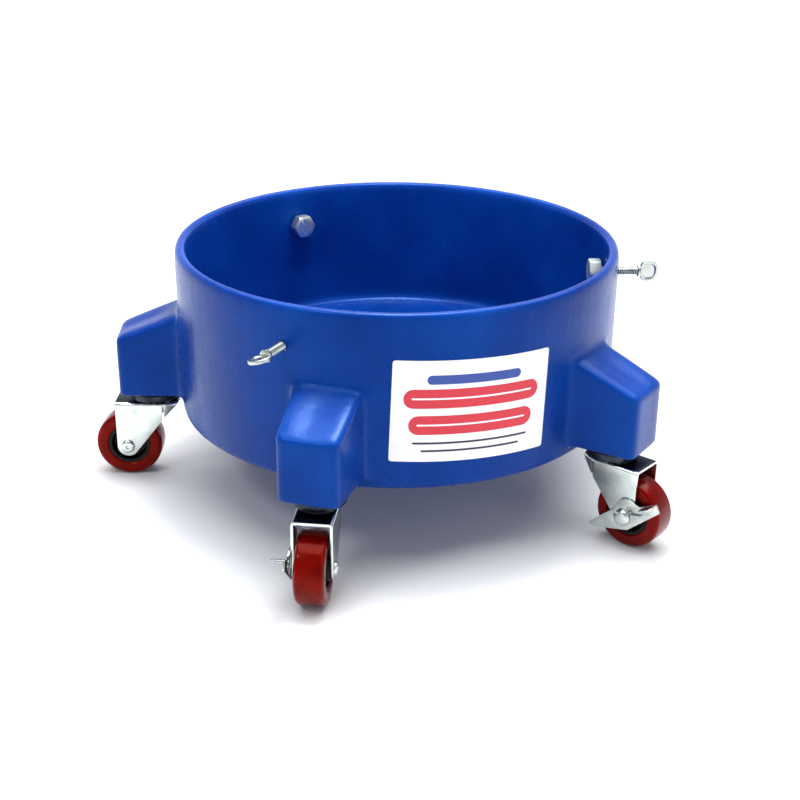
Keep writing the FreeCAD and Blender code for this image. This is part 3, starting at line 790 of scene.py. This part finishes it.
def wheelCore():
    s = wheelPlan
    edge, rim, web = s["half"] - s["step"], s["core"] - s["rim"], s["web"]
    side = [(s["bore"], s["hubHalf"], 0.3), (s["hub"], s["hubHalf"], 0.7), (s["hub"] + 0.8, web, 1.0),
            (rim - 0.8, web, 1.0), (rim, edge, 0.4), (s["core"], edge, 0.1)]
    outline = roundedOutline([(r, -z, soft) for r, z, soft in side] + side[::-1], 4)
    core = lathe("wheelCore", outline, 96)
    ribs = []
    across = barOutline((s["hub"] + rim) / 2, 0, rim - s["hub"] + 0.6, 2 * (web + s["ribTall"]), 0.4)
    for rib in range(s["ribs"]):       # shallow ribs stiffen the web on both faces
        spoke = setDown(plate("rib", [across], s["ribThick"], 0.3), turn=(90, 0, 0))
        ribs.append(setDown(spoke, turn=(0, 0, 360 / s["ribs"] * rib)))
    joinPieces(core, *ribs)
    ontoAxle(core, (90, 0, 0))
    smooth(core, 40)
    return core


leverPlan = {"sheet": 1.6, "gap": 0.4, "tilt": 26.6, "boss": (5.0, 2.5, 10.4), "bore": 3.05,
             "slotAt": (8.0, 3.6), "slotLong": 7.2, "slot": 2.9, "slotTurn": 14, "arm": 31.0, "top": 5.0,
             "pad": 9.0, "padLong": 11.0, "shadeSheet": 0.26, "shadeTall": 7.0, "shadeLap": 0.7}


def brakeLever():          # stamped rocker beside the fork, with a bent foot pad and a slot by its boss
    s = leverPlan
    bossX, bossY, boss = s["boss"]
    arc = [(bossX + boss * math.cos(math.radians(a)), bossY + boss * math.sin(math.radians(a)), 0)
           for a in range(24, 150, 9)]
    front = [(s["arm"], -1.5, 1.4), (s["arm"], s["top"], 0.5), (17.5, s["top"] + 0.3, 2.5)]
    tail = [(-5.5, 6.8, 3), (-13, 5, 9), (-s["arm"] + 0.4, 0.2, 1.0), (-28, -3.5, 1.6), (0, -10, 6),
            (3, -9.2, 4)]
    outline = roundedOutline(front + arc + tail, 4)
    slotX, slotY = s["slotAt"]
    turn = math.radians(-s["slotTurn"])
    slot = []
    for end, around in ((0, range(90, 271, 20)), (s["slotLong"], range(-90, 91, 20))):
        for a in around:
            x, y = end + s["slot"] * math.cos(math.radians(a)), s["slot"] * math.sin(math.radians(a))
            slot.append((slotX + x * math.cos(turn) - y * math.sin(turn),
                         slotY + x * math.sin(turn) + y * math.cos(turn)))
    rocker = plate("brakeLever", [outline, slot, circlePoints(s["bore"])], s["sheet"], 0.25)
    middle = -(forkPlan["half"] + s["gap"] + s["sheet"] / 2)
    setDown(rocker, turn=(90, 0, 0), move=(0, middle, 0))
    near = middle - s["sheet"] / 2
    low, high = s["arm"] - s["padLong"], s["arm"]
    tip = near - s["pad"] + 0.5
    root = near + 1.5      # runs into the rocker's sheet
    sole = roundedOutline([(low, tip, 2.6), (high, tip, 2.6), (high, root, 0.3), (low, root, 0.3)], 5)
    pad = plate("pad", [sole], s["sheet"], 0.35)
    setDown(pad, move=(0, 0, s["top"] - s["sheet"] / 2))
    # a thin dark sheet behind the slot shows through it: painted shade inside the slot
    shadeLong = s["slotLong"] + 2 * (s["slot"] + s["shadeLap"])
    cam = plate("cam", [barOutline(s["slotLong"] / 2, 0, shadeLong, s["shadeTall"], 3.4)], s["shadeSheet"], 0.04)
    setDown(cam, turn=(0, 0, -s["slotTurn"]), move=(slotX, slotY, 0))
    setDown(cam, turn=(90, 0, 0), move=(0, -(forkPlan["half"] + s["gap"] / 2), 0))
    for material in (zinc, paintedShadeZinc):
        cam.data.materials.append(material)
        rocker.data.materials.append(material)
    for face in cam.data.polygons:
        face.material_index = 1
    joinPieces(rocker, pad, cam)
    ontoAxle(rocker, (0, -s["tilt"], 0))
    smooth(rocker, 35)
    return rocker


# the race caps take the darkened zinc, painted shade for the shadow under the pods
masters = {"race_cap": (raceCap(), [paintedShadeZinc], "dolly", "zinc_plate"),
           "fork": (joinPieces(forkSheet(), race()), [zinc, paintedShadeZinc], "swivel", "zinc_plate"),
           "axle": (axlePin(False), [zinc], "swivel", "zinc_plate"),
           "axleBraked": (axlePin(True), [zinc], "swivel", "zinc_plate"),
           "wheel_core": (wheelCore(), [black], "wheel", "black_plastic"),
           "tread": (tyre(), [red], "wheel", "red_polyurethane"),
           "brake_lever": (brakeLever(), [zinc, paintedShadeZinc], "brake", "zinc_plate")}
print("caster masters ready")

for number in range(1, 6):
    swivel = Vector(joints[f"swivel_turn_{number}"]["pos_m"])
    hub = Vector(joints[f"wheel_spin_{number}"]["pos_m"])
    heading = math.degrees(math.atan2(hub.y - swivel.y, hub.x - swivel.x))
    isBraked = f"brake_press_{number}" in joints
    for part, (master, look, body, slot) in masters.items():
        if part == "brake_lever" and not isBraked or part == ("axle" if isBraked else "axleBraked"):
            continue
        node = part.replace("Braked", "")
        piece = copyOf(master, f"{node.replace('_', '')}Piece{number}")
        setDown(piece, turn=(0, 0, heading), move=(swivel.x / mm, swivel.y / mm, 0))
        finishPiece(piece, look, body if body == "dolly" else f"{body}_{number}", f"{node}_{number}")
        if part == "fork":             # painted shade: the top plate round the race, in shadow under the pod, takes the darkened zinc
            level = (forkPlan["top"] - 0.15) * mm
            for face in piece.data.polygons:
                face.material_index = int(face.center.z > level and face.normal.z > -0.5)
for master, *_ in masters.values():
    bpy.data.objects.remove(master)

# inner works keep their CAD shapes and take their finish here
carried = {"stem_insert": brass, "screw_insert": brass, "caster_stem": zinc, "ball_ring": steel,
           "axle_bush": steel}
for name, node in frame["nodes"].items():
    for start, look in carried.items():
        if name.startswith(start):
            node.data.materials.clear()
            node.data.materials.append(look)
print("casters ready")

# floor, lights and camera

stagePlan = {"size": 60, "floor": "#d8d9db", "shade": "#d5d6d8", "cloud": 333}
# a soft box is (name, place, size, watts), in metres
lightPlan = [("wellSoftbox", (0.0, 0.02, 0.78), (0.28, 0.28), 8),
             ("keySoftbox", (-0.35, -1.5, 1.7), (0.5, 0.4), 9),
             ("sideSoftbox", (1.9, -0.3, 0.9), (0.8, 1.2), 4)]
skyPlan = {"angle": 75, "strength": 4.2, "from": (-0.1, 0.25, 1.0)}
airPlan = {"tint": "#f6f8fc", "low": 0.12, "high": 0.45, "horizon": 1.08, "overhead": 0.42}
cameraPlan = {"angle": -56.4, "reach": 0.98095, "height": 0.40799, "aim": (0.0029, 0.0019, -0.0272),
              "roll": -0.602, "lens": 62.137}


# Matt painted board under the dolly: pale grey, very faintly clouded.
def paleFloor():
    s = stagePlan
    material, tree, shader, place = startMaterial("painted board", Roughness=0.7)
    cloud = addNode(tree, "TexNoise", [("Vector", place, "Object")], Scale=1000 / s["cloud"])
    tone = addNode(tree, "ValToRGB", [("Fac", cloud, "Fac")],
                   [(0.3, linear(s["shade"])), (0.7, linear(s["floor"]))])
    tree.links.new(tone.outputs["Color"], shader.inputs["Base Color"])
    clearSelection()
    bpy.ops.mesh.primitive_plane_add(size=s["size"], location=(0, 0, cadBox[0].z))
    floor = bpy.context.object
    floor.name = "studioFloor"
    bpy.ops.object.transform_apply(location=True)
    floor.data.materials.append(material)


def addLamp(name, kind, place, power):      # a lamp at that place, facing the middle of the dolly
    lamp = bpy.data.lights.new(name, kind)
    lamp.energy = power
    holder = bpy.data.objects.new(name, lamp)
    bpy.context.scene.collection.objects.link(holder)
    holder.location = place
    holder.rotation_mode = "QUATERNION"
    holder.rotation_quaternion = (-Vector(place)).to_track_quat("-Z", "Y")
    return lamp


def studioLamps():
    for name, place, size, power in lightPlan:
        lamp = addLamp(name, "AREA", place, power)
        lamp.shape = "RECTANGLE"
        lamp.size, lamp.size_y = size
    # a soft box overhead, so wide that it lights the whole floor evenly
    overhead = addLamp("overheadSoftbox", "SUN", skyPlan["from"], skyPlan["strength"])
    overhead.angle = math.radians(skyPlan["angle"])


def studioAir():           # white round the horizon and dimmer overhead, which the zinc reflects
    s = airPlan
    world = bpy.data.worlds.new("studioAir")
    world.use_nodes = True
    tree = world.node_tree
    air = tree.nodes["Background"]
    air.inputs["Color"].default_value = linear(s["tint"])
    height = addNode(tree, "SeparateXYZ", [("Vector", addNode(tree, "TexCoord"), "Generated")])
    glow = addNode(tree, "MapRange", [("Value", height, "Z")], From_Min=s["low"], From_Max=s["high"],
                   To_Min=s["horizon"], To_Max=s["overhead"])
    tree.links.new(glow.outputs["Result"], air.inputs["Strength"])
    bpy.context.scene.world = world
    bpy.context.scene.view_settings.view_transform = "Standard"


def studioCamera():
    s = cameraPlan
    bearing = math.radians(s["angle"])
    lens = bpy.data.cameras.new("studioCamera")
    lens.lens = s["lens"]
    lens.sensor_width = 36
    camera = bpy.data.objects.new("studioCamera", lens)
    bpy.context.scene.collection.objects.link(camera)
    camera.location = (s["reach"] * math.cos(bearing), s["reach"] * math.sin(bearing), s["height"])
    ahead = (Vector(s["aim"]) - camera.location).normalized()
    camera.rotation_mode = "QUATERNION"
    camera.rotation_quaternion = Quaternion(ahead, math.radians(s["roll"])) @ ahead.to_track_quat("-Z", "Y")
    bpy.context.scene.camera = camera


paleFloor()
studioLamps()
studioAir()
studioCamera()
print("studio ready")
